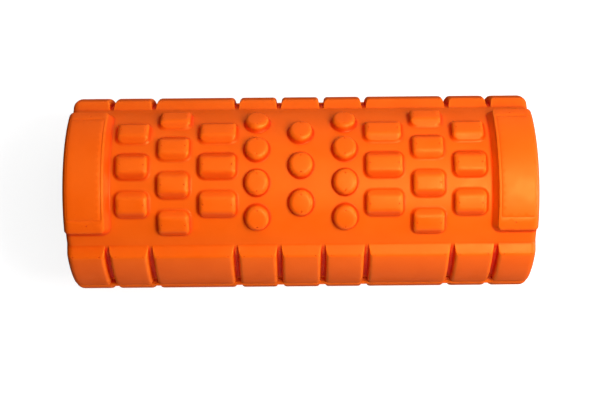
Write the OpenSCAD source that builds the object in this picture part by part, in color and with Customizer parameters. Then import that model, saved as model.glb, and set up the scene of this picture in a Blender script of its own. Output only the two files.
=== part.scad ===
// Grid foam roller: a rigid hollow core with two moulded foam half shells cemented round it.
// The roller's axis is X, up is +Z, and the origin is the roller's centre. Millimetres and degrees.
// An angle in a shell is measured about the axis from the shell's middle line, which is at 0;
// the shell's two seam faces are at -90 and +90.

/* [Foam] */
// Length of the foam, end to end
foam_length = 330; // [310:1:400]
// Radius over the raised pads, bands and blocks
land_radius = 70.5; // [68:0.5:74]
// Depth of the valleys between them
relief = 5.3; // [3:0.1:6]
// Rounding of the outer edges at both ends
end_round = 4.7; // [2:0.1:5]
// Turn of the roller about its own axis, as it lies
rest_turn = 16; // [-90:0.5:90]

/* [Pads] */
// Angle from one pad to the next in a ring of pads
pad_pitch = 23.4; // [21.5:0.1:24]
// Width of a pad round the roller, at its foot
pad_width = 20; // [17:0.1:20]
// Lean of a pad's two long walls, foot to top
pad_long_lean = 5.5; // [2:0.1:6]
// Lean of a pad's two short walls, up to their top edge
pad_short_lean = 1.5; // [0.5:0.1:2]
// Plan radius of a pad's corners
pad_corner = 5.8; // [1:0.1:6]
// Bevel of the top edge of the short walls
pad_bevel = 2; // [0.5:0.1:2.5]

/* [Nubs] */
// Angle between the nubs of the middle ring
middle_nub_pitch = 22.8; // [20:0.1:24]
// Angle between the nubs of the two rings beside it
nub_pitch = 21.2; // [20:0.1:23]
// Foot diameter of a round nub
nub_diameter = 19.4; // [16:0.1:21]
// Lean of a nub's wall, up to its top edge
nub_lean = 0.8; // [0.4:0.1:2]
// Bevel of a nub's top edge
nub_bevel = 2; // [0.5:0.1:2.5]

/* [Side blocks] */
// Angle at which a block's bevel leaves the valley
block_foot_angle = 51; // [48:0.1:54]
// Angle at which the bevel reaches the block's face
block_face_angle = 56.8; // [56:0.1:60]
// Width of the grooves between the blocks, at the bottom
groove_width = 2.9; // [1.5:0.1:4]
// Lean of the groove's walls, up to their top edge
groove_lean = 0.5; // [0.2:0.1:1]
// Bevel of the groove's top edges
groove_bevel = 1.8; // [0.5:0.1:2.5]
// Depth of the grooves
groove_depth = 5; // [3:0.1:5.2]
// Rounding where a block's face meets the seam
seam_round = 4.5; // [2:0.1:6]
// Width of the rim that closes the grooves along one of a shell's two seams
seam_rim = 4.4; // [2:0.1:8]

/* [End bands] */
// Distance from the middle to the foot of an end band's inner wall
band_start = 132.6; // [131:0.1:140]
// Lean of the inner wall
band_wall_lean = 3.8; // [1:0.1:4]
// Angle to either side at which a band's side wall meets the valley
band_foot_angle = 43; // [40:0.1:45]
// Angle to either side at which it reaches the band's face
band_face_angle = 39.4; // [37:0.1:39.8]

/* [Core] */
// Outside diameter of the core tube
core_diameter = 110; // [100:1:114]
// Wall of the core tube
core_wall = 3.5; // [2.5:0.5:6]
// How far each end of the tube sits inside the foam's end
core_setback = 1.5; // [0.5:0.5:5]
// Thickness of the cured cement between the pieces
cement = 0.2; // [0.1:0.05:0.4]

/* [Hidden] */
$fn = 96;

foam_color = [0.93, 0.36, 0.07];
core_color = [0.10, 0.10, 0.11];
cement_color = [0.78, 0.62, 0.36];

valley_radius = land_radius - relief;
core_radius = core_diameter / 2;
foam_inner_radius = core_radius + cement;
core_length = foam_length - 2 * core_setback;
// The cement stops this far inside the tube's ends and below the valleys
cement_end_gap = 0.5;
cement_edge_gap = 3;
film_length = core_length - 2 * cement_end_gap;
film_reach = valley_radius - cement_edge_gap;

// Pads stop this far below the valley, inside the foam, and reach this far above the face
root = 3;
proud = 2;
// How far a shape that cuts or trims the foam runs past it
past = 6;
// A slope is drawn on past its foot and its top by this share of itself
overrun = 0.5;

// Rings of nubs: distance from the middle, count, angle between neighbours
nub_rings = [[0, 3, middle_nub_pitch], [30.6, 4, nub_pitch]];
// Rings of pads: distance from the middle, count, foot length along the axis
pad_rings = [[58.3, 3, 29], [89, 4, 25], [117.8, 3, 25.4]];
// Grooves between the side blocks: distances from the middle
groove_places = [15.4, 46, 106.6, 136.9];

function polar(radius, angle) = [radius * sin(angle), radius * cos(angle)];
function along(a, b, t) = a + (b - a) * t;
function ring_angles(count, pitch) = [for (i = [0:count - 1]) (i - (count - 1) / 2) * pitch];
function both_sides(x) = x == 0 ? [0] : [-x, x];

// Turn from the shell's middle line towards +Y
module at_angle(angle) {
    rotate([-angle, 0, 0]) children();
}

// Solid of revolution about X. The 2D shape has the radius in x and the place along the axis in y.
module turned() {
    rotate([0, 90, 0]) rotate_extrude() children();
}

// Cross-section square to the axis, run along it. The 2D shape has Y in x and Z in y.
module run_along_axis(length) {
    translate([-length / 2, 0, 0]) rotate([90, 0, 90]) linear_extrude(length) children();
}

// Half section of a drum with rounded outer edges
module drum_section(radius) {
    half = foam_length / 2;
    translate([0, -half]) square([radius - end_round, foam_length]);
    translate([0, -half + end_round]) square([radius, foam_length - 2 * end_round]);
    for (y = [-half + end_round, half - end_round]) {
        translate([radius - end_round, y]) circle(end_round);
    }
}

module drum(radius) {
    turned() drum_section(radius);
}

// Foam pad with leaning walls and rounded plan corners, on the shell's middle line
module pad(length) {
    intersection() {
        rotate([90, 0, 0]) linear_extrude(2 * pad_width, center = true) short_wall_section(length);
        run_along_axis(2 * length) long_wall_section();
        translate([0, 0, valley_radius - root]) linear_extrude(root + relief + proud)
            rounded_plan(length, pad_width);
    }
}

// Section of a pad along the roller: steep walls with a bevelled top edge
module short_wall_section(length) {
    foot = length / 2;
    edge = foot - pad_short_lean;
    half_outline([
        [foot, valley_radius - root], [foot, valley_radius],
        [edge, land_radius - pad_bevel], [edge - pad_bevel - proud, land_radius + proud]
    ]);
}

// Section of a pad across the roller: one slope from foot to top
module long_wall_section() {
    slope = pad_long_lean / relief;
    half_outline([
        [pad_width / 2 + slope * root, valley_radius - root],
        [pad_width / 2 - slope * (relief + proud), land_radius + proud]
    ]);
}

// Closed outline from the points of its right half, listed upwards
module half_outline(points) {
    count = len(points);
    polygon(concat(points, [for (i = [1:count]) [-points[count - i][0], points[count - i][1]]]));
}

module rounded_plan(length, width) {
    square([length - 2 * pad_corner, width], center = true);
    square([length, width - 2 * pad_corner], center = true);
    for (x = [-1, 1], y = [-1, 1]) {
        translate([x * (length / 2 - pad_corner), y * (width / 2 - pad_corner)]) circle(pad_corner);
    }
}

// Round nub with a steep wall and a bevelled top edge, on the shell's middle line
module nub() {
    foot = nub_diameter / 2;
    edge = foot - nub_lean;
    translate([0, 0, valley_radius]) rotate_extrude() polygon([
        [0, -root], [foot, -root], [foot, 0], [edge, relief - nub_bevel],
        [edge - nub_bevel - proud, relief + proud], [0, relief + proud]
    ]);
}

module pads() {
    for (ring = nub_rings, x = both_sides(ring[0]), angle = ring_angles(ring[1], ring[2])) {
        translate([x, 0, 0]) at_angle(angle) nub();
    }
    for (ring = pad_rings, x = both_sides(ring[0]), angle = ring_angles(ring[1], pad_pitch)) {
        translate([x, 0, 0]) at_angle(angle) pad(ring[2]);
    }
}

// One band at the +X end, over the middle of the shell
module end_band() {
    foot = polar(valley_radius, band_foot_angle);
    face = polar(land_radius, band_face_angle);
    low = along(foot, face, -overrun);
    high = along(foot, face, 1 + overrun);
    slope = band_wall_lean / relief;
    inner_radius = valley_radius - root;
    end = foam_length / 2 + past;
    top = land_radius + 3 * past;
    intersection() {
        run_along_axis(2 * end)
            polygon([[-low[0], low[1]], [0, low[1]], low, high, [0, top], [-high[0], high[1]]]);
        turned() polygon([
            [inner_radius, band_start - slope * root], [land_radius + proud, band_start + slope * (relief + proud)],
            [land_radius + proud, end], [inner_radius, end]
        ]);
    }
}

// Groove round the roller, as a ring to be taken away
module groove(x) {
    low = groove_width / 2;
    edge = low + groove_lean;
    translate([x, 0, 0]) turned() polygon([
        [land_radius - groove_depth, -low], [land_radius - groove_bevel, -edge],
        [land_radius + proud, -edge - groove_bevel - proud], [land_radius + proud, edge + groove_bevel + proud],
        [land_radius - groove_bevel, edge], [land_radius - groove_depth, low]
    ]);
}

// Row of side blocks beside the seam on the +Y side. The rim closes the grooves' ends at the seam.
module block_row(rim) {
    foot = polar(valley_radius, block_foot_angle);
    face = polar(land_radius, block_face_angle);
    low = along(foot, face, -overrun);
    high = along(foot, face, 1 + overrun);
    centre_z = cement / 2 + seam_round;
    centre_y = sqrt(pow(land_radius - seam_round, 2) - pow(centre_z, 2));
    outside = land_radius + past;
    reach = foam_length + 2 * past;
    difference() {
        run_along_axis(reach) difference() {
            polygon([low, high, [outside, high[1]], [outside, -proud], [valley_radius - root, -proud]]);
            difference() {
                translate([centre_y, -past]) square([seam_round + past, centre_z + past]);
                translate([centre_y, centre_z]) circle(seam_round);
            }
        }
        intersection() {
            for (place = groove_places, x = both_sides(place)) groove(x);
            translate([-reach / 2, 0, rim]) cube([reach, reach, reach]);
        }
    }
}

module lands() {
    pads();
    for (side = [0, 1]) mirror([side, 0, 0]) end_band();
    block_row(seam_rim);
    mirror([0, 1, 0]) block_row(-past);
}

// Half shell of foam with its middle line upwards
module foam_half_shell() {
    size = foam_length + 2 * past;
    difference() {
        union() {
            drum(valley_radius);
            intersection() {
                drum(land_radius);
                lands();
            }
        }
        rotate([0, 90, 0]) cylinder(h = size, r = foam_inner_radius, center = true);
        translate([-size / 2, -size / 2, cement / 2 - size]) cube(size);
    }
}

module foam_shell_upper() {
    color(foam_color) at_angle(rest_turn) foam_half_shell();
}

module foam_shell_lower() {
    color(foam_color) at_angle(rest_turn + 180) foam_half_shell();
}

// Extruded tube, open at both ends
module core_tube() {
    color(core_color) rotate([0, 90, 0]) difference() {
        cylinder(h = core_length, r = core_radius, center = true);
        cylinder(h = core_length + past, r = core_radius - core_wall, center = true);
    }
}

// Cured cement: a sleeve on the tube, with a fin between the shells at each seam
module cement_film() {
    color(cement_color) at_angle(rest_turn) difference() {
        union() {
            rotate([0, 90, 0]) cylinder(h = film_length, r = foam_inner_radius, center = true);
            cube([film_length, 2 * film_reach, cement], center = true);
        }
        rotate([0, 90, 0]) cylinder(h = film_length + past, r = core_radius, center = true);
    }
}

core_tube();
cement_film();
foam_shell_upper();
foam_shell_lower();
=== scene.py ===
"""Grid foam roller seen from above: two moulded foam half shells on a rigid core tube.

Shapes are worked out in millimetres in a shell's own map: x runs along the roller from its middle, and y is
the distance round the roller at LAND_RADIUS, from the shell's middle line. They become metres at the end.
"""

import math

import bpy
import numpy as np
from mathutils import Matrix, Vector, geometry, kdtree


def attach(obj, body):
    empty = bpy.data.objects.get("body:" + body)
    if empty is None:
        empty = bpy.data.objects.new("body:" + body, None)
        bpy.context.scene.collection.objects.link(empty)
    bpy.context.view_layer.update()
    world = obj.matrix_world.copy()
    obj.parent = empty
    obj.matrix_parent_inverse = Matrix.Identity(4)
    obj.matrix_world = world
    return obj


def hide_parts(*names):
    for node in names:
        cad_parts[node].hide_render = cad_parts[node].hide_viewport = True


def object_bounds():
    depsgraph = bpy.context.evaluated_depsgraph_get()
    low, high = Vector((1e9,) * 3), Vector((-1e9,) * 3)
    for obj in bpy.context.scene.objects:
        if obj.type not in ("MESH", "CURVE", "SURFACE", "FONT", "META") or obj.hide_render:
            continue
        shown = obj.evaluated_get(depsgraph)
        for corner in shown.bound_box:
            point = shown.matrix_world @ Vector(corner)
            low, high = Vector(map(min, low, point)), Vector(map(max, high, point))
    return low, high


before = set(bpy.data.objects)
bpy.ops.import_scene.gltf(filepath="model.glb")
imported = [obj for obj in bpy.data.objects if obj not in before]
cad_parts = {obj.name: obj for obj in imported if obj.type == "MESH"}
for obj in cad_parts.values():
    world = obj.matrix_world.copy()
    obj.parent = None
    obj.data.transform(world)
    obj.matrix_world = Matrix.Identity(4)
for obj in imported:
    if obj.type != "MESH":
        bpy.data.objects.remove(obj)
cad_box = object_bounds()

MM = 0.001

# ---------------------------------------------------------------- sizes, in millimetres and degrees
# The roller's own length and radius, from the CAD's box to a tenth of a millimetre
LENGTH = round((cad_box[1].x - cad_box[0].x) / MM, 1)
LAND_RADIUS = round(cad_box[1].z / MM, 1)  # over the pads
RELIEF = 5.3  # height of the pads above the valleys
BORE_RADIUS = 55.2
REST_TURN = 16.0  # of the upper shell's middle line from straight up
HALF_CEMENT = 0.1  # half the cement's thickness in a seam
END_ROUND = 4.7

ARC = math.radians(1) * LAND_RADIUS  # millimetres of y per degree round the roller
VALLEY_RADIUS = LAND_RADIUS - RELIEF
HALF_LENGTH = LENGTH / 2
EDGE_Y = 90 * ARC  # where the two shells would meet without cement
SEAM_Y = (90 - math.degrees(HALF_CEMENT / LAND_RADIUS)) * ARC

# Rings of nubs: distance from the middle, count, angle between neighbours
NUB_RINGS = [(0.0, 3, 22.8), (30.6, 4, 21.2)]
NUB_HALF_X = 9.3
NUB_HALF_Y = 10.5
NUB_LEAN = 1.1  # plan width of a wall, below its fillet
NUB_FILLET = 3.2

# Rings of pads: distance from the middle, count, angle between neighbours, half length at the foot
PAD_RINGS = [(57.8, 3, 23.4, 14.4), (88.5, 4, 23.35, 12.5), (117.3, 3, 23.4, 12.7)]
PAD_HALF_Y = 11.2
PAD_CORNER = 7.0
PAD_LEAN = 1.5
PAD_FILLET = 3.6
PAD_SLOPE = 6.6  # plan width of a long wall, foot to crease

# Raised band at each end of a shell
BAND_START = 132.6
BAND_LEAN = 3.8
BAND_FILLET = 1.0
BAND_CORNER = 7.5
BAND_HALF_Y = 43.0 * ARC
BAND_SLOPE = 4.4

# Blocks along both seams: the bevel up to them, the grooves between them, and their edges at the seam
BEVEL_FOOT_Y = 51.0 * ARC
BEVEL_TOP_Y = 56.8 * ARC
GROOVES = (15.45, 46.0, 106.1, 136.6)
GROOVE_HALF = 1.3
GROOVE_LEAN = 0.6
GROOVE_FILLET = 2.9
GROOVE_FLARE = 5.2
SEAM_RIM = 4.4  # closes the grooves along one seam of each shell
SEAM_ROUND = 4.5

# Heights over which a slope's top, a wall's foot and the meeting of a slope and a wall are softened
CREASE_BLEND = 1.1
FOOT_BLEND = 0.8
MITRE_BLEND = 0.8
PAD_MITRE_BLEND = 1.8

# Thin outline sunk into a band
PANEL_X = (138.4, 162.0)
PANEL_HALF_Y = 32.0 * ARC
PANEL_CORNER = 1.2
PANEL_LINE = 0.4
PANEL_DEPTH = 0.2

# Core tube
CORE_OUTER = 55.0
CORE_INNER = 51.5
CORE_HALF_LENGTH = 163.5
CORE_CHAMFER = 0.4
CORE_SIDES = 180

# Cement squeezed out beside each end of the tube: how far it reaches in and along, and how that varies
BEAD_REACH = 1.0
BEAD_LENGTH = 0.8
BEAD_VARIATION = 0.35
BEAD_RANGE = (0.25, 1.8)
BEAD_WAVES = range(3, 26, 2)  # waves round the roller
BEAD_WAVE_SUM = 3  # brings the sum of the waves to about 1
BEAD_STEP = 1.5
BEAD_SAG = 0.42  # its face is hollow: the middle point's place, where 0.5 would be flat
BEAD_OVERLAP = 0.05  # how far it runs into the tube and the foam

# Moulding vents, and how far their middles are from the edge of a nub, pad or block
PIP_RADIUS = 0.55
PIP_DEPTH = 1.1
PIP_FROM_EDGE = 4.4
PIP_FROM_GROOVE = 5.6
PIP_FROM_CREASE = 0.6  # down the bevel
PIP_END_SHIFT = 1.5  # the vents of an end block sit this much nearer the roller's end
BAND_PIP_X = 148.6
BAND_PIP_Y = 35.0 * ARC

# Painted shade darkens the skin in hollows and on flanks, and a painted highlight pales it on crests, by
# the relief in a ring round a point
TONE_REACH = 1.4
TONE_DIRECTIONS = 12  # a multiple of 4
HOLLOW_FULL = 1.25  # this far below the ring, the painted shade in a hollow is full
CREST_FULL = 1.0  # and this far above it, the painted highlight on a crest
FLANK_FULL = 0.85  # steepness at which the painted shade on a flank is full
END_WALL_SHARE = 0.5  # how much of the steepness counts along the roller
INNER_SLOPE_SHARE = 0.35  # and how much on a slope that faces the shell's middle line
BAND_FOOT_SHARE = 1.8  # a band's foot gets painted shade as if it were this much hollower


# ---------------------------------------------------------------- height of the moulded relief
def smooth_min(a, b, width):
    """The smaller height, rounded off where the two are within width of each other."""
    overlap = np.maximum(width - np.abs(a - b), 0) / width
    return np.minimum(a, b) - overlap * overlap * width / 4


def smooth_max(a, b, width):
    return -smooth_min(-a, -b, width)


def wall_height(inset, lean, fillet):
    """Steep wall up to RELIEF, its top edge rounded to a quarter circle."""
    wall = inset / lean * (RELIEF - fillet)
    run = np.clip(inset - lean, 0, fillet)
    rounded = RELIEF - fillet + np.sqrt(np.maximum(fillet**2 - (fillet - run) ** 2, 0))
    return np.where(inset < lean, wall, rounded)


def inset_from_corner(a, b, radius):
    """Distance inside a corner whose two straight sides are at a = 0 and b = 0."""
    qa = radius - a
    qb = radius - b
    return radius - np.hypot(np.maximum(qa, 0), np.maximum(qb, 0)) - np.minimum(np.maximum(qa, qb), 0)


def ring_lines(count, pitch):
    """y of each member of a ring."""
    return [(i - (count - 1) / 2) * pitch * ARC for i in range(count)]


def nub_height(dx, dy):
    """Oval nub, at distances dx and dy from its middle."""
    share = np.hypot(dx / NUB_HALF_X, dy / NUB_HALF_Y)
    return wall_height((1 - share) * (NUB_HALF_X + NUB_HALF_Y) / 2, NUB_LEAN, NUB_FILLET)


def pad_height(dx, dy, half_x):
    """Pad with steep ends and sloping long walls, at distances dx and dy from its middle."""
    walls = wall_height(inset_from_corner(half_x - dx, PAD_HALF_Y - dy, PAD_CORNER), PAD_LEAN, PAD_FILLET)
    slope = smooth_min((PAD_HALF_Y - dy) * RELIEF / PAD_SLOPE, RELIEF, CREASE_BLEND)
    return smooth_min(slope, walls, PAD_MITRE_BLEND)


def band_height(x, y):
    """End band, at distances x and y from the shell's middle, with its thin outline."""
    inset = inset_from_corner(x - BAND_START, BAND_HALF_Y - y, BAND_CORNER)
    slope = smooth_min((BAND_HALF_Y - y) * RELIEF / BAND_SLOPE, RELIEF, CREASE_BLEND)
    height = smooth_min(wall_height(inset, BAND_LEAN, BAND_FILLET), slope, MITRE_BLEND)
    edge_x = np.minimum(x - PANEL_X[0], PANEL_X[1] - x)
    line = np.abs(inset_from_corner(edge_x, PANEL_HALF_Y - y, PANEL_CORNER))
    return height - PANEL_DEPTH * np.clip(1 - line / PANEL_LINE, 0, 1)


def flare(to_seam):
    """How much wider a groove is on each side, where it opens at the seam."""
    near = np.clip(GROOVE_FLARE - to_seam, 0, GROOVE_FLARE)
    return GROOVE_FLARE - np.sqrt(GROOVE_FLARE**2 - near**2)


def block_height(x, y):
    """Blocks along both seams, which a bevel leads up to and grooves part from each other."""
    ay = np.abs(y)
    to_seam = EDGE_Y - ay
    from_groove = np.min([np.abs(x - place) for place in GROOVES], axis=0) - GROOVE_HALF
    closed = np.where(to_seam < SEAM_RIM, np.maximum(from_groove, SEAM_RIM - to_seam), from_groove)
    inset = np.where(y > 0, closed, from_groove - flare(to_seam))
    walls = wall_height(inset, GROOVE_LEAN, GROOVE_FILLET)
    near = np.clip(SEAM_ROUND - to_seam, 0, SEAM_ROUND)
    rounded = RELIEF - SEAM_ROUND + np.sqrt(np.maximum(SEAM_ROUND**2 - near**2, 0))
    bevel = (ay - BEVEL_FOOT_Y) * RELIEF / (BEVEL_TOP_Y - BEVEL_FOOT_Y)
    return smooth_min(np.minimum(walls, rounded), smooth_min(bevel, RELIEF, CREASE_BLEND), MITRE_BLEND)


def pip_places():
    """Vents near the ends of every pad and block, across every nub and on the bands."""
    places = []
    for ring_x, count, pitch in NUB_RINGS:
        for y in ring_lines(count, pitch):
            places += [(ring_x, y + side * (NUB_HALF_Y - PIP_FROM_EDGE)) for side in (-1, 1)]
    for ring_x, count, pitch, half_x in PAD_RINGS:
        for y in ring_lines(count, pitch):
            places += [(ring_x + side * (half_x - PIP_FROM_EDGE), y) for side in (-1, 1)]
    places += [(BAND_PIP_X, side * BAND_PIP_Y) for side in (-1, 1)]
    edges = (-GROOVES[0],) + GROOVES + (HALF_LENGTH + PIP_END_SHIFT,)
    for left, right in zip(edges[:-1], edges[1:]):
        for x in (left + PIP_FROM_GROOVE, right - PIP_FROM_GROOVE):
            if x > 0:
                places += [(x, side * (BEVEL_TOP_Y - PIP_FROM_CREASE)) for side in (-1, 1)]
    return places


def relief_height(x, y):
    """Height above the valley, at points of the half of the shell where x is 0 or more."""
    height = np.zeros_like(x)
    for ring_x, count, pitch in NUB_RINGS:
        for ring_y in ring_lines(count, pitch):
            nub = nub_height(np.abs(x - ring_x), np.abs(y - ring_y))
            height = np.maximum(height, smooth_max(nub, 0, FOOT_BLEND))
    for ring_x, count, pitch, half_x in PAD_RINGS:
        for ring_y in ring_lines(count, pitch):
            pad = pad_height(np.abs(x - ring_x), np.abs(y - ring_y), half_x)
            height = np.maximum(height, smooth_max(pad, 0, FOOT_BLEND))
    height = np.maximum(height, smooth_max(band_height(x, np.abs(y)), 0, FOOT_BLEND))
    height = np.maximum(height, smooth_max(block_height(x, y), 0, FOOT_BLEND))
    for pip_x, pip_y in pip_places():
        away = np.hypot(x - pip_x, y - pip_y)
        height = height - PIP_DEPTH * np.clip(1 - away / PIP_RADIUS, 0, 1)
    return height


def shell_radius(x, y):
    """Radius of the foam's skin, with both ends rounded."""
    near = np.clip(END_ROUND - (HALF_LENGTH - x), 0, END_ROUND)
    drop = END_ROUND - np.sqrt(np.maximum(END_ROUND**2 - near**2, 0))
    return VALLEY_RADIUS + relief_height(x, y) - drop


def painted_shade_and_highlight(x, y):
    """Masks, each 0 to 1: painted shade by how hollow the skin is, a painted highlight by how crested it
    is, and painted shade by how much of a flank it is.
    """
    directions = np.radians(np.arange(0, 360, 360 / TONE_DIRECTIONS))
    around = []
    for angle in directions:
        near_x = np.abs(x + TONE_REACH * math.cos(angle))
        near_y = np.clip(y + TONE_REACH * math.sin(angle), -SEAM_Y, SEAM_Y)
        around.append(relief_height(np.minimum(near_x, HALF_LENGTH), near_y))
    below = np.mean(around, axis=0) - relief_height(x, y)
    quarter = TONE_DIRECTIONS // 4
    rise_x = (around[0] - around[2 * quarter]) / (2 * TONE_REACH)
    rise_y = (around[quarter] - around[-quarter]) / (2 * TONE_REACH)
    # Painted shade on flanks: full on slopes that fall away from the shell's middle line, weaker on those
    # facing it and on end walls, none on the blocks
    falls_outward = rise_y * np.sign(y) < 0
    share_y = np.where(falls_outward, 1, INNER_SLOPE_SHARE)
    steepness = np.hypot(END_WALL_SHARE * rise_x, share_y * rise_y)
    flank_shade = np.where(np.abs(y) < BEVEL_FOOT_Y - TONE_REACH, steepness / FLANK_FULL, 0)
    hollow = below / HOLLOW_FULL * np.where(x > BAND_START - TONE_REACH, BAND_FOOT_SHARE, 1)
    return [np.clip(painted_mask, 0, 1) for painted_mask in (hollow, -below / CREST_FULL, flank_shade)]


# ---------------------------------------------------------------- lines that the mesh follows
SPACING = 2.2  # between points along a line
END_SPACING = 1.6
CORNER_SPACING = 0.8
QUARTER_ARC = 1.6  # a quarter circle's length over its radius, rounded up
LEAST_RADIUS = 0.05  # a corner rounder than this is an arc
MERGE_DISTANCE = 1e-4
AXIS_WIDTH = 2e-3  # points closer than this to the roller's middle are on it
BORDER_WIDTH = 1e-3  # and closer than this to the map's border are on that

# Parts that round outlines are drawn in
NUB_STEPS = 48
BAND_CORNER_STEPS = 8
PIP_STEPS = 8
MITRE_POINTS = 12

# Lines along a wall: on the ground beside it, over its softened foot, on the wall and over its fillet
GROUND_INSETS = [-2.0, -1.2]
FOOT_STEPS = (-1.6, -1, -0.4, 0.3, 1)
WALL_STEP = 0.7  # share of the wall's width, but no less than CLEAR_OF_FOOT times its foot's
CLEAR_OF_FOOT = 1.2
BAND_WALL_INSETS = [1.4, 2.2, 2.9]
FILLET_STEPS = [1 - math.cos(math.radians(a)) for a in (0, 18, 36, 54, 72, 90)]

# Lines over a softened crease, and over the round edges at the seam, the ends and the grooves' mouths
BLEND_STEPS = (-1, -0.5, 0, 0.5, 1)
SEAM_ANGLES = (0, 15, 30, 45, 60, 75)
END_ANGLES = (0, 15, 30, 45, 60, 72, 82, 90)
FLARE_ANGLES = (22, 45, 67)

PIP_FLOOR = 0.35  # a vent's inner line, as a share of its radius
GROOVE_OVERLAP = 0.5  # how far a groove's lines run past the bevel's foot

# Loose grid of points on open ground, and how far it stays from every line
GROUND_GRID = (5.0, 2.6)
GROUND_CLEARANCE = 1.1


def wall_insets(lean, fillet):
    """Insets at which a wall's mesh has a line, from just outside its foot to the end of its fillet."""
    foot = FOOT_BLEND * lean / (RELIEF - fillet)
    insets = [step * foot for step in FOOT_STEPS]
    insets.append(max(WALL_STEP * lean, CLEAR_OF_FOOT * foot))
    return insets + [lean + fillet * step for step in FILLET_STEPS]


def wall_and_ground_insets(lean, fillet):
    """The same, with lines on the valley's ground beside the wall."""
    return GROUND_INSETS + wall_insets(lean, fillet)


def blend_offsets(half_width):
    """Places across a softened crease, from its middle."""
    return [half_width * step for step in BLEND_STEPS]


def straight(start, end, spacing):
    """Evenly spaced points from start to end, no further apart than spacing."""
    count = max(1, math.ceil(math.dist(start, end) / spacing))
    first, last = np.array(start), np.array(end)
    return [tuple(first + (last - first) * i / count) for i in range(count + 1)]


def path(corners, spacing):
    """The same along each side of an open path."""
    points = []
    for start, end in zip(corners[:-1], corners[1:]):
        points += straight(start, end, spacing)[:-1]
    return points + [corners[-1]]


def turn_points(cx, cy, radius, start, end, steps):
    """Arc round (cx, cy) from angle start to angle end."""
    angles = np.radians(np.linspace(start, end, steps + 1))
    return [(cx + radius * math.cos(a), cy + radius * math.sin(a)) for a in angles]


def corner_points(cx, cy, radius, start, steps):
    """Quarter circle from angle start, or its middle alone where the corner is sharp."""
    return turn_points(cx, cy, radius, start, start + 90, steps) if radius > LEAST_RADIUS else [(cx, cy)]


def rounded_box(cx, cy, half_x, half_y, radius, spacing):
    """Closed outline of a box with rounded corners."""
    radius = max(radius, 0.0)
    steps = max(1, math.ceil(radius * QUARTER_ARC / CORNER_SPACING))
    corners = []
    for sx, sy, start in ((1, 1, 0), (-1, 1, 90), (-1, -1, 180), (1, -1, 270)):
        centre = (cx + sx * (half_x - radius), cy + sy * (half_y - radius))
        corners += corner_points(*centre, radius, start, steps)
    return path(corners + [corners[0]], spacing)


def nub_lines():
    """Ovals round every nub. The middle ring's are half ovals, which stop at x = 0."""
    lines = []
    mean = (NUB_HALF_X + NUB_HALF_Y) / 2
    for ring_x, count, pitch in NUB_RINGS:
        halved = ring_x == 0
        half_turn = 90 if halved else 180
        angles = np.radians(np.linspace(-half_turn, half_turn, NUB_STEPS * half_turn // 180 + 1))
        across = [max(math.cos(a), 0 if halved else -1) for a in angles]
        for ring_y in ring_lines(count, pitch):
            for inset in wall_and_ground_insets(NUB_LEAN, NUB_FILLET):
                share = 1 - inset / mean
                lines.append([
                    (ring_x + share * NUB_HALF_X * dx, ring_y + share * NUB_HALF_Y * math.sin(a))
                    for dx, a in zip(across, angles)
                ])
    return lines


def pad_mitre(half_x):
    """Crease between a long slope and an end wall, foot to top, as distances from the pad's middle."""
    points = []
    for height in np.linspace(0, RELIEF, MITRE_POINTS):
        if height <= RELIEF - PAD_FILLET:
            inset = height * PAD_LEAN / (RELIEF - PAD_FILLET)
        else:
            rise = height - (RELIEF - PAD_FILLET)
            inset = PAD_LEAN + PAD_FILLET - math.sqrt(max(PAD_FILLET**2 - rise**2, 0))
        dy = PAD_HALF_Y - height * PAD_SLOPE / RELIEF
        radius = max(PAD_CORNER - inset, 0)
        past = dy - (PAD_HALF_Y - PAD_CORNER)
        reach = math.sqrt(max(radius**2 - past**2, 0)) if past > 0 else radius
        dx = half_x - PAD_CORNER + reach if radius > 0 else half_x - inset
        points.append((dx, dy))
    return points


def pad_lines():
    """Rounded boxes round every pad, the creases along its top and those at its four corners."""
    lines = []
    for ring_x, count, pitch, half_x in PAD_RINGS:
        mitre = pad_mitre(half_x)
        for ring_y in ring_lines(count, pitch):
            for inset in wall_and_ground_insets(PAD_LEAN, PAD_FILLET):
                half_y, radius = PAD_HALF_Y - inset, PAD_CORNER - inset
                lines.append(rounded_box(ring_x, ring_y, half_x - inset, half_y, radius, SPACING))
            for sy in (-1, 1):
                for offset in blend_offsets(CREASE_BLEND * PAD_SLOPE / RELIEF):
                    y = ring_y + sy * (PAD_HALF_Y - PAD_SLOPE + offset)
                    reach = half_x - PAD_LEAN - PAD_FILLET
                    lines.append(straight((ring_x - reach, y), (ring_x + reach, y), SPACING))
                for sx in (-1, 1):
                    lines.append([(ring_x + sx * dx, ring_y + sy * dy) for dx, dy in mitre])
    return lines


def band_lines():
    """Lines round the end band, the creases along its long sides and its thin outline."""
    lines = []
    insets = GROUND_INSETS + blend_offsets(FOOT_BLEND * BAND_LEAN / RELIEF) + BAND_WALL_INSETS
    insets += [BAND_LEAN + BAND_FILLET * step for step in FILLET_STEPS[::2]]
    for inset in insets:
        radius = max(BAND_CORNER - inset, 0)
        cx = BAND_START + max(BAND_CORNER, inset)
        cy = BAND_HALF_Y - max(BAND_CORNER, inset)
        upper = [(HALF_LENGTH, cy + radius)] + corner_points(cx, cy, radius, 90, BAND_CORNER_STEPS)
        lines.append(path(upper + [(x, -y) for x, y in reversed(upper)], SPACING))
    for sy in (-1, 1):
        for offset in blend_offsets(CREASE_BLEND * BAND_SLOPE / RELIEF):
            y = sy * (BAND_HALF_Y - BAND_SLOPE + offset)
            lines.append(straight((BAND_START + BAND_LEAN, y), (HALF_LENGTH, y), SPACING))
    middle = sum(PANEL_X) / 2
    half_x = (PANEL_X[1] - PANEL_X[0]) / 2
    for out in (-PANEL_LINE, 0, PANEL_LINE):
        lines.append(rounded_box(middle, 0, half_x + out, PANEL_HALF_Y + out, PANEL_CORNER + out, SPACING))
    return lines


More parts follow.
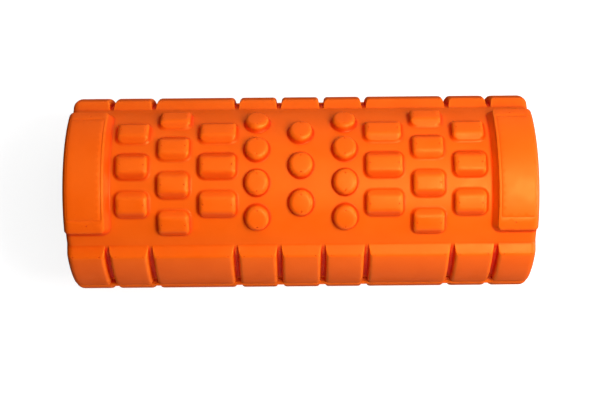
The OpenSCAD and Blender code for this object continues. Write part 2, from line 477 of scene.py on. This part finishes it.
def groove_mitre(inset):
    """How far up the bevel a groove's wall of this inset meets it."""
    height = float(np.clip(wall_height(np.float64(inset), GROOVE_LEAN, GROOVE_FILLET), 0, RELIEF))
    return BEVEL_FOOT_Y + height * (BEVEL_TOP_Y - BEVEL_FOOT_Y) / RELIEF


def long_block_lines():
    """Lines along the roller: the bevel's foot and top, and the blocks' rounded edge at the seam."""
    slope = (BEVEL_TOP_Y - BEVEL_FOOT_Y) / RELIEF
    places = [BEVEL_FOOT_Y + GROUND_INSETS[0]]
    places += [BEVEL_FOOT_Y + offset for offset in blend_offsets(FOOT_BLEND * slope)]
    places += [BEVEL_TOP_Y + offset for offset in blend_offsets(CREASE_BLEND * slope)]
    places += [EDGE_Y - SEAM_ROUND * (1 - math.sin(math.radians(a))) for a in SEAM_ANGLES]
    return [straight((0, sy * y), (HALF_LENGTH, sy * y), SPACING) for y in places for sy in (-1, 1)]


def open_groove_line(place, side, inset):
    """One line of a groove's wall, from the bevel to the seam where the groove opens."""
    x = place + side * (GROOVE_HALF + inset)
    corners = [(x, GROOVE_OVERLAP - BEVEL_FOOT_Y), (x, GROOVE_FLARE - EDGE_Y)]
    distances = [GROOVE_FLARE * (1 - math.sin(math.radians(a))) for a in FLARE_ANGLES]
    for distance in distances + [EDGE_Y - SEAM_Y]:
        corners.append((x + side * float(flare(np.float64(distance))), distance - EDGE_Y))
    return path(corners, SPACING)


def closed_groove_lines(place, inset):
    """The same lines, on both walls, at the seam where a rim closes the groove."""
    start = BEVEL_FOOT_Y - GROOVE_OVERLAP
    left, right = place - GROOVE_HALF - inset, place + GROOVE_HALF + inset
    top = EDGE_Y - SEAM_RIM + inset
    if top < SEAM_Y:
        return [path([(left, start), (left, top), (right, top), (right, start)], SPACING)]
    return [straight((x, start), (x, SEAM_Y), SPACING) for x in (left, right)]


def block_lines():
    """Lines of the blocks and of the grooves between them."""
    lines = long_block_lines()
    insets = wall_insets(GROOVE_LEAN, GROOVE_FILLET)
    for place in GROOVES:
        for side in (-1, 1):
            lines += [open_groove_line(place, side, inset) for inset in insets]
            mitre = [(place + side * (GROOVE_HALF + inset), groove_mitre(inset)) for inset in insets]
            lines += [[(x, sy * y) for x, y in mitre] for sy in (-1, 1)]
        for inset in insets:
            lines += closed_groove_lines(place, inset)
    return lines


def pip_lines():
    return [
        turn_points(x, y, radius, 0, 360, PIP_STEPS)
        for x, y in pip_places()
        for radius in (PIP_RADIUS, PIP_FLOOR * PIP_RADIUS)
    ]


def outline_lines():
    """The map's border and the lines of the rounded end."""
    lines = [
        straight((0, -SEAM_Y), (0, SEAM_Y), SPACING),
        straight((0, -SEAM_Y), (HALF_LENGTH, -SEAM_Y), SPACING),
        straight((0, SEAM_Y), (HALF_LENGTH, SEAM_Y), SPACING),
    ]
    for angle in END_ANGLES:
        x = HALF_LENGTH - END_ROUND * (1 - math.sin(math.radians(angle)))
        lines.append(straight((x, -SEAM_Y), (x, SEAM_Y), END_SPACING))
    return lines


# ---------------------------------------------------------------- meshes
# Names of the painted shade and painted highlight masks kept on the mesh's points
PAINTED_LIGHT_ATTRIBUTES = ("hollow", "crest_highlight", "flank_shade")
SMOOTH_ANGLE = 40  # edges sharper than this stay sharp


def triangulate(lines):
    """Triangles over the half of the map where x is 0 or more. They follow every line."""
    points = []
    edges = []
    for line in lines:
        first = len(points)
        points += [(min(max(x, 0.0), HALF_LENGTH), min(max(y, -SEAM_Y), SEAM_Y)) for x, y in line]
        edges += [(first + i, first + i + 1) for i in range(len(line) - 1)]
    near = kdtree.KDTree(len(points))
    for i, (x, y) in enumerate(points):
        near.insert((x, y, 0), i)
    near.balance()
    step_x, step_y = GROUND_GRID
    for row, y in enumerate(np.arange(-SEAM_Y + step_y, SEAM_Y, step_y)):
        for x in np.arange(step_x * (0.5 if row % 2 else 1.0), HALF_LENGTH, step_x):
            if near.find((x, y, 0))[2] > GROUND_CLEARANCE:
                points.append((float(x), float(y)))
    vectors = [Vector(point) for point in points]
    flat, _, faces, _, _, _ = geometry.delaunay_2d_cdt(vectors, edges, [], 0, MERGE_DISTANCE, False)
    flat = np.array([(p.x, p.y) for p in flat])
    flat[np.abs(flat[:, 0]) < AXIS_WIDTH, 0] = 0.0
    return flat, [list(f) for f in faces if flat[f, 0].max() > 0]


def mirrored(flat, faces):
    """Both halves of the map from the half where x is 0 or more."""
    on_axis = flat[:, 0] == 0
    twin = np.where(on_axis, np.arange(len(flat)), len(flat) - 1 + np.cumsum(~on_axis))
    both = np.vstack([flat, flat[~on_axis] * (-1, 1)])
    return both, faces + [[int(twin[i]) for i in reversed(face)] for face in faces]


def to_space(x, y, radius, turn):
    """Places in the roller's frame, of a shell that is turned this far."""
    angle = y / ARC * math.pi / 180 + math.radians(turn)
    return np.stack([x, radius * np.sin(angle), radius * np.cos(angle)], axis=-1)


def shell_map():
    """The shell's skin as flat points, faces, radii and painted shade and highlight masks, for both halves.
    """
    lines = outline_lines() + nub_lines() + pad_lines() + band_lines() + block_lines() + pip_lines()
    flat, faces = triangulate(lines)
    off_axis = flat[:, 0] > 0
    values = [shell_radius(flat[:, 0], flat[:, 1])] + painted_shade_and_highlight(flat[:, 0], flat[:, 1])
    radius, *painted_masks = [np.concatenate([value, value[off_axis]]) for value in values]
    return *mirrored(flat, faces), radius, painted_masks


def closed_shell(flat, skin_faces):
    """Faces of skin, ends, seams and bore, and the skin points that have a twin on the bore.

    The twins are numbered on from the skin's points, in that order.
    """
    x, y = flat[:, 0], flat[:, 1]
    bore = {}

    def inner(i):
        return bore.setdefault(i, len(flat) + len(bore))

    def border(distance, order):
        found = np.nonzero(np.abs(distance) < BORDER_WIDTH)[0]
        return [int(i) for i in found[np.argsort(order[found])]]

    ends = {side: border(x - side * HALF_LENGTH, y) for side in (-1, 1)}
    seams = {side: border(y - side * SEAM_Y, x) for side in (-1, 1)}
    faces = list(skin_faces)
    for side, flip in ((1, False), (-1, True)):
        for strip, turned_over in ((ends[side], flip), (seams[side], not flip)):
            for a, b in zip(strip[:-1], strip[1:]):
                quad = [a, inner(a), inner(b), b]
                faces.append(quad[::-1] if turned_over else quad)
    for k, (a, b) in enumerate(zip(ends[-1][:-1], ends[-1][1:])):
        c, d = ends[1][k + 1], ends[1][k]
        ring = [inner(a), inner(b), inner(c), inner(d)]
        if k == 0:
            ring = [inner(a), inner(b), inner(c)] + [inner(i) for i in reversed(seams[-1][1:])]
        if k == len(ends[-1]) - 2:
            ring = [inner(d), inner(a)] + [inner(i) for i in seams[1]]
        faces.append(ring)
    return faces, list(bore)


def shell_mesh(name, skin, turn):
    """Closed half shell: moulded skin, bore, two end faces and two seam faces."""
    flat, skin_faces, radius, painted_masks = skin
    faces, bore = closed_shell(flat, skin_faces)
    outer = to_space(flat[:, 0], flat[:, 1], radius, turn)
    inner = to_space(flat[bore, 0], flat[bore, 1], BORE_RADIUS, turn)
    mesh = bpy.data.meshes.new(name)
    mesh.from_pydata((np.vstack([outer, inner]) * MM).tolist(), [], faces)
    # Painted shade and painted highlight masks, one value per skin point, none on the bore
    for attribute, painted_mask in zip(PAINTED_LIGHT_ATTRIBUTES, painted_masks):
        layer = mesh.attributes.new(attribute, "FLOAT", "POINT")
        layer.data.foreach_set("value", np.concatenate([painted_mask, np.zeros(len(bore))]).astype(np.float32))
    mesh.validate()
    return mesh


def lathe(name, profiles):
    """Closed ring of cross-sections, spread evenly round the roller. Each is a list of (x, radius)."""
    count = len(profiles)
    points = [
        to_space(x, i * 360 * ARC / count, radius, 0) * MM
        for i, profile in enumerate(profiles)
        for x, radius in profile
    ]
    size = len(profiles[0])
    faces = []
    for i in range(count):
        here, there = i * size, (i + 1) % count * size
        for j in range(size):
            after = (j + 1) % size
            faces.append((here + j, here + after, there + after, there + j))
    mesh = bpy.data.meshes.new(name)
    mesh.from_pydata([tuple(p) for p in points], [], faces)
    mesh.validate()
    return mesh


def tube_mesh(name):
    """Cut tube with a small chamfer at each of its four edges."""
    end, cut = CORE_HALF_LENGTH, CORE_CHAMFER
    half = [
        (end - cut, CORE_OUTER),
        (end, CORE_OUTER - cut),
        (end, CORE_INNER + cut),
        (end - cut, CORE_INNER),
    ]
    return lathe(name, [half + [(-x, radius) for x, radius in reversed(half)]] * CORE_SIDES)


def bead_mesh(name, side, seed):
    """Uneven bead of cement in the corner between the tube's end and the foam's bore."""
    random = np.random.default_rng(seed)
    angles = np.radians(np.arange(0, 360, BEAD_STEP))
    waves = sum(np.cos(angles * k + random.uniform(0, 2 * math.pi)) / k**0.5 for k in BEAD_WAVES)
    corner_x, corner_radius = CORE_HALF_LENGTH - BEAD_OVERLAP, BORE_RADIUS + BEAD_OVERLAP
    profiles = []
    for wave in np.clip(1 + BEAD_VARIATION * (waves / BEAD_WAVE_SUM), *BEAD_RANGE):
        reach, length = BEAD_REACH * wave, BEAD_LENGTH * wave
        outline = [
            (corner_x, corner_radius),
            (corner_x, BORE_RADIUS - reach),
            (corner_x + BEAD_SAG * length, BORE_RADIUS - BEAD_SAG * reach),
            (corner_x + length, corner_radius),
        ]
        profiles.append([(side * x, radius) for x, radius in outline[::-side]])
    return lathe(name, profiles)


def add_piece(name, mesh, material):
    mesh.shade_smooth()
    mesh.set_sharp_from_angle(angle=math.radians(SMOOTH_ANGLE))
    mesh.materials.append(material)
    piece = bpy.data.objects.new(name, mesh)
    bpy.context.scene.collection.objects.link(piece)
    return piece


# ---------------------------------------------------------------- materials
MIX_SOCKETS = (0, 6, 7)  # a Mix node's factor and its two colours
MIX_RESULT = 2


class Nodes:
    """Small helper that adds shader nodes to one material and links them."""

    def __init__(self, name, roughness, specular):
        self.material = bpy.data.materials.new(name)
        self.material.use_nodes = True
        self.tree = self.material.node_tree
        self.shader = self.tree.nodes["Principled BSDF"]
        self.shader.inputs["Roughness"].default_value = roughness
        self.shader.inputs["Specular IOR Level"].default_value = specular
        self.place = self.tree.nodes.new("ShaderNodeTexCoord").outputs["Object"]

    def add(self, kind, **inputs):
        node = self.tree.nodes.new(kind)
        for key, value in inputs.items():
            self.feed(node.inputs[key], value)
        return node

    def feed(self, socket, value):
        if isinstance(value, bpy.types.NodeSocket):
            self.tree.links.new(value, socket)
        else:
            socket.default_value = value

    def noise(self, scale, detail=2.0, stretch=(1, 1, 1)):
        """Noise between about 0.3 and 0.7, with this many cells per metre."""
        place = self.add("ShaderNodeMapping", Vector=self.place, Scale=stretch).outputs["Vector"]
        return self.add("ShaderNodeTexNoise", Vector=place, Scale=scale, Detail=detail).outputs["Fac"]

    def attribute(self, name):
        node = self.tree.nodes.new("ShaderNodeAttribute")
        node.attribute_name = name
        return node.outputs["Fac"]

    def span(self, value, low, high, to_low, to_high):
        """Value from low..high carried over to to_low..to_high, and held there."""
        node = self.tree.nodes.new("ShaderNodeMapRange")
        for index, number in enumerate((value, low, high, to_low, to_high)):
            self.feed(node.inputs[index], number)
        return node.outputs["Result"]

    def times(self, a, b):
        node = self.tree.nodes.new("ShaderNodeMath")
        node.operation = "MULTIPLY"
        self.feed(node.inputs[0], a)
        self.feed(node.inputs[1], b)
        return node.outputs["Value"]

    def mix(self, factor, a, b):
        """Colour a where the factor is 0 and colour b where it is 1."""
        node = self.tree.nodes.new("ShaderNodeMix")
        node.data_type = "RGBA"
        for index, value in zip(MIX_SOCKETS, (factor, a, b)):
            self.feed(node.inputs[index], (*value, 1) if isinstance(value, tuple) else value)
        return node.outputs[MIX_RESULT]

    def bump(self, height, strength, depth, normal=None):
        node = self.add("ShaderNodeBump", Height=height, Strength=strength, Distance=depth)
        if normal is not None:
            self.feed(node.inputs["Normal"], normal)
        return node.outputs["Normal"]

    def finish(self, color, roughness, normal):
        self.feed(self.shader.inputs["Base Color"], color)
        self.feed(self.shader.inputs["Roughness"], roughness)
        self.feed(self.shader.inputs["Normal"], normal)
        return self.material


FOAM = (0.78, 0.087, 0.001)
FOAM_LIGHT = (0.81, 0.096, 0.002)
# Painted shade on flanks and in hollows, and a painted highlight on crests, mixed over the foam's own
# colour
PAINTED_FLANK_SHADE = (0.72, 0.052, 0.0005)
PAINTED_HOLLOW_SHADE = (0.63, 0.0015, 0.0001)
PAINTED_CREST_HIGHLIGHT = (0.88, 0.15, 0.006)
FOAM_SPECK = (0.30, 0.03, 0.002)
FOAM_SHEEN = (1.0, 0.85, 0.2, 1)
PLASTIC = (0.010, 0.010, 0.011)
PLASTIC_LIGHT = (0.018, 0.018, 0.019)
PLASTIC_DUST = (0.07, 0.067, 0.063)
CEMENT = (0.40, 0.17, 0.04)
CEMENT_LIGHT = (0.62, 0.36, 0.14)


def foam_material():
    """Moulded EVA skin: soft mottling, fine grain, specks, and faint tool marks along the roller, with
    painted shade in hollows and on flanks and a painted highlight on crests.
    """
    n = Nodes("foam_skin", roughness=0.45, specular=0.4)
    n.shader.inputs["Specular Tint"].default_value = FOAM_SHEEN
    mottle = n.span(n.noise(38, 4), 0.35, 0.65, 0, 1)
    # Painted highlight on crests and painted shade in hollows, both broken up by noise
    crest_highlight_mask = n.times(n.attribute("crest_highlight"), n.span(n.noise(160), 0.3, 0.6, 0.3, 1))
    hollows = n.times(n.attribute("hollow"), n.span(n.noise(90), 0.3, 0.6, 0.8, 1))
    specks = n.span(n.noise(1900, 1), 0.775, 0.8, 0, 0.5)
    color = n.mix(mottle, FOAM, FOAM_LIGHT)
    # Painted shade on flanks, painted highlight on crests, painted shade in hollows
    color = n.mix(n.attribute("flank_shade"), color, PAINTED_FLANK_SHADE)
    color = n.mix(crest_highlight_mask, color, PAINTED_CREST_HIGHLIGHT)
    color = n.mix(hollows, color, PAINTED_HOLLOW_SHADE)
    color = n.mix(specks, color, FOAM_SPECK)
    roughness = n.span(n.noise(120, 4), 0.3, 0.7, 0.36, 0.52)
    tool_marks = n.noise(900, 1, stretch=(0.03, 1, 1))
    marked = n.bump(tool_marks, n.span(n.noise(30), 0.45, 0.65, 0.02, 0.3), 0.12 * MM)
    return n.finish(color, roughness, n.bump(n.noise(1500, 3), 0.22, 0.12 * MM, marked))


def plastic_material():
    """Extruded black ABS: drawing lines along the tube, scuffs and a little dust."""
    n = Nodes("core_plastic", roughness=0.65, specular=0.2)
    scuffs = n.span(n.noise(70, 5), 0.52, 0.72, 0, 0.6)
    color = n.mix(n.span(n.noise(25), 0.3, 0.7, 0, 1), PLASTIC, PLASTIC_LIGHT)
    color = n.mix(scuffs, color, PLASTIC_DUST)
    roughness = n.span(n.noise(220, 4, stretch=(0.1, 1, 1)), 0.3, 0.7, 0.58, 0.8)
    drawn = n.bump(n.noise(500, 2, stretch=(0.01, 1, 1)), 0.3, 0.2 * MM)
    return n.finish(color, roughness, n.bump(n.noise(1300, 2), 0.12, 0.1 * MM, drawn))


def cement_material():
    """Dried rubber cement: an amber film, clouded and lumpy."""
    n = Nodes("dried_cement", roughness=0.35, specular=0.5)
    color = n.mix(n.span(n.noise(180, 4), 0.35, 0.65, 0, 1), CEMENT, CEMENT_LIGHT)
    roughness = n.span(n.noise(300, 3), 0.3, 0.7, 0.25, 0.55)
    return n.finish(color, roughness, n.bump(n.noise(420, 3), 0.5, 0.3 * MM))


# ---------------------------------------------------------------- stage
# The camera looks straight down. Millimetres and degrees, where nothing else is said
CAMERA_OFFSET = (-0.7, -6.09)
CAMERA_HEIGHT = 903.0
CAMERA_ROLL = 0.51
CAMERA_CLIP = (0.05, 20.0)  # metres
FOCAL_SHARE = 1211.0 / 600  # focal length over the picture's width
SENSOR_WIDTH = 36.0

FLOOR_HALF = 4.0  # metres
FLOOR_GREY = 0.4
FLOOR_GLOW = 0.8
FLOOR_ROUGHNESS = 0.9

# Softboxes round the roller: name, place, side, power, and whether its reflection shows
SOFTBOXES = [
    ("key_right", (1.1, 0.0, 0.2), 0.5, 5.8, True),
    ("near_right", (0.3, 0.0, 0.6), 0.3, 4.0, True),
    ("right_back", (0.45, 0.45, 0.95), 0.5, 1.35, True),
    ("overhead", (0.0, 0.0, 1.25), 0.6, 0.3, True),
    ("overhead_back", (0.0, 0.5, 1.05), 0.5, 1.45, True),
    ("high_back", (0.0, 0.95, 0.7), 0.5, 0.35, False),
    ("low_back", (0.0, 1.1, 0.2), 0.5, 0.85, False),
    ("low_front", (0.0, -1.1, 0.2), 0.5, 1.75, False),
]

# Soft light from one side each: direction and strength
DAYLIGHT = [
    ((0.6, -0.8, 0.0), 0.36),
    ((0.48, -0.64, -0.6), 0.76),
    ((0.6, 0.8, 0.0), 0.84),
]


def add_camera():
    data = bpy.data.cameras.new("camera")
    data.sensor_width = SENSOR_WIDTH
    data.lens = FOCAL_SHARE * SENSOR_WIDTH
    data.clip_start, data.clip_end = CAMERA_CLIP
    camera = bpy.data.objects.new("camera", data)
    camera.location = (CAMERA_OFFSET[0] * MM, CAMERA_OFFSET[1] * MM, CAMERA_HEIGHT * MM)
    camera.rotation_euler = (0, 0, -math.radians(CAMERA_ROLL))
    bpy.context.scene.collection.objects.link(camera)
    bpy.context.scene.camera = camera


def add_floor(height):
    mesh = bpy.data.meshes.new("floor")
    signs = ((-1, -1), (1, -1), (1, 1), (-1, 1))
    mesh.from_pydata([(sx * FLOOR_HALF, sy * FLOOR_HALF, height) for sx, sy in signs], [], [(0, 1, 2, 3)])
    material = bpy.data.materials.new("floor")
    material.use_nodes = True
    shader = material.node_tree.nodes["Principled BSDF"]
    shader.inputs["Base Color"].default_value = (FLOOR_GREY, FLOOR_GREY, FLOOR_GREY, 1)
    shader.inputs["Roughness"].default_value = FLOOR_ROUGHNESS
    shader.inputs["Emission Color"].default_value = (1, 1, 1, 1)
    shader.inputs["Emission Strength"].default_value = FLOOR_GLOW
    mesh.materials.append(material)
    floor = bpy.data.objects.new("floor", mesh)
    floor.visible_diffuse = False
    floor.visible_glossy = False
    bpy.context.scene.collection.objects.link(floor)


def add_softbox(name, place, size, power, reflected):
    """Square softbox of that side, aimed at the roller. Metres and watts."""
    data = bpy.data.lights.new(name, "AREA")
    data.shape = "SQUARE"
    data.size = size
    data.energy = power
    light = bpy.data.objects.new(name, data)
    light.location = place
    light.visible_glossy = reflected
    light.rotation_euler = (-Vector(place)).to_track_quat("-Z", "Y").to_euler()
    bpy.context.scene.collection.objects.link(light)


def add_daylight():
    """World that is as bright as DAYLIGHT says in each direction, and leaves no reflections."""
    world = bpy.data.worlds.new("studio")
    bpy.context.scene.world = world
    world.use_nodes = True
    world.cycles_visibility.glossy = False
    nodes, links = world.node_tree.nodes, world.node_tree.links
    background = nodes["Background"]
    background.inputs["Color"].default_value = (1, 1, 1, 1)
    view = nodes.new("ShaderNodeTexCoord").outputs["Generated"]
    total = None
    for direction, strength in DAYLIGHT:
        toward = nodes.new("ShaderNodeVectorMath")
        toward.operation = "DOT_PRODUCT"
        toward.inputs[1].default_value = direction
        links.new(view, toward.inputs[0])
        share = nodes.new("ShaderNodeMapRange")
        share.inputs["To Max"].default_value = strength
        links.new(toward.outputs["Value"], share.inputs["Value"])
        sum_so_far = nodes.new("ShaderNodeMath")
        sum_so_far.operation = "ADD"
        sum_so_far.inputs[1].default_value = 0
        links.new(share.outputs["Result"], sum_so_far.inputs[0])
        if total is not None:
            links.new(total, sum_so_far.inputs[1])
        total = sum_so_far.outputs["Value"]
    links.new(total, background.inputs["Strength"])


# ---------------------------------------------------------------- the roller
skin = shell_map()
foam = foam_material()
for node, turn in (("foam_shell_upper", REST_TURN), ("foam_shell_lower", REST_TURN + 180)):
    name = node.replace("shell", "skin")
    shell = add_piece(name, shell_mesh(name, skin, turn), foam)
    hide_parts(node)
    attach(shell, "root")

tube = add_piece("core_tube_cut", tube_mesh("core_tube_cut"), plastic_material())
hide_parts("core_tube")
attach(tube, "root")

cement = cement_material()
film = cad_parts["cement_film"]
film.data.materials.clear()
film.data.materials.append(cement)
for name, side, seed in (("cement_bead_right", 1, 4), ("cement_bead_left", -1, 9)):
    bead = add_piece(name, bead_mesh(name, side, seed), cement)
    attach(bead, "root")

add_camera()
add_floor(cad_box[0].z)
add_daylight()
for softbox in SOFTBOXES:
    add_softbox(*softbox)
bpy.context.scene.view_settings.view_transform = "Standard"
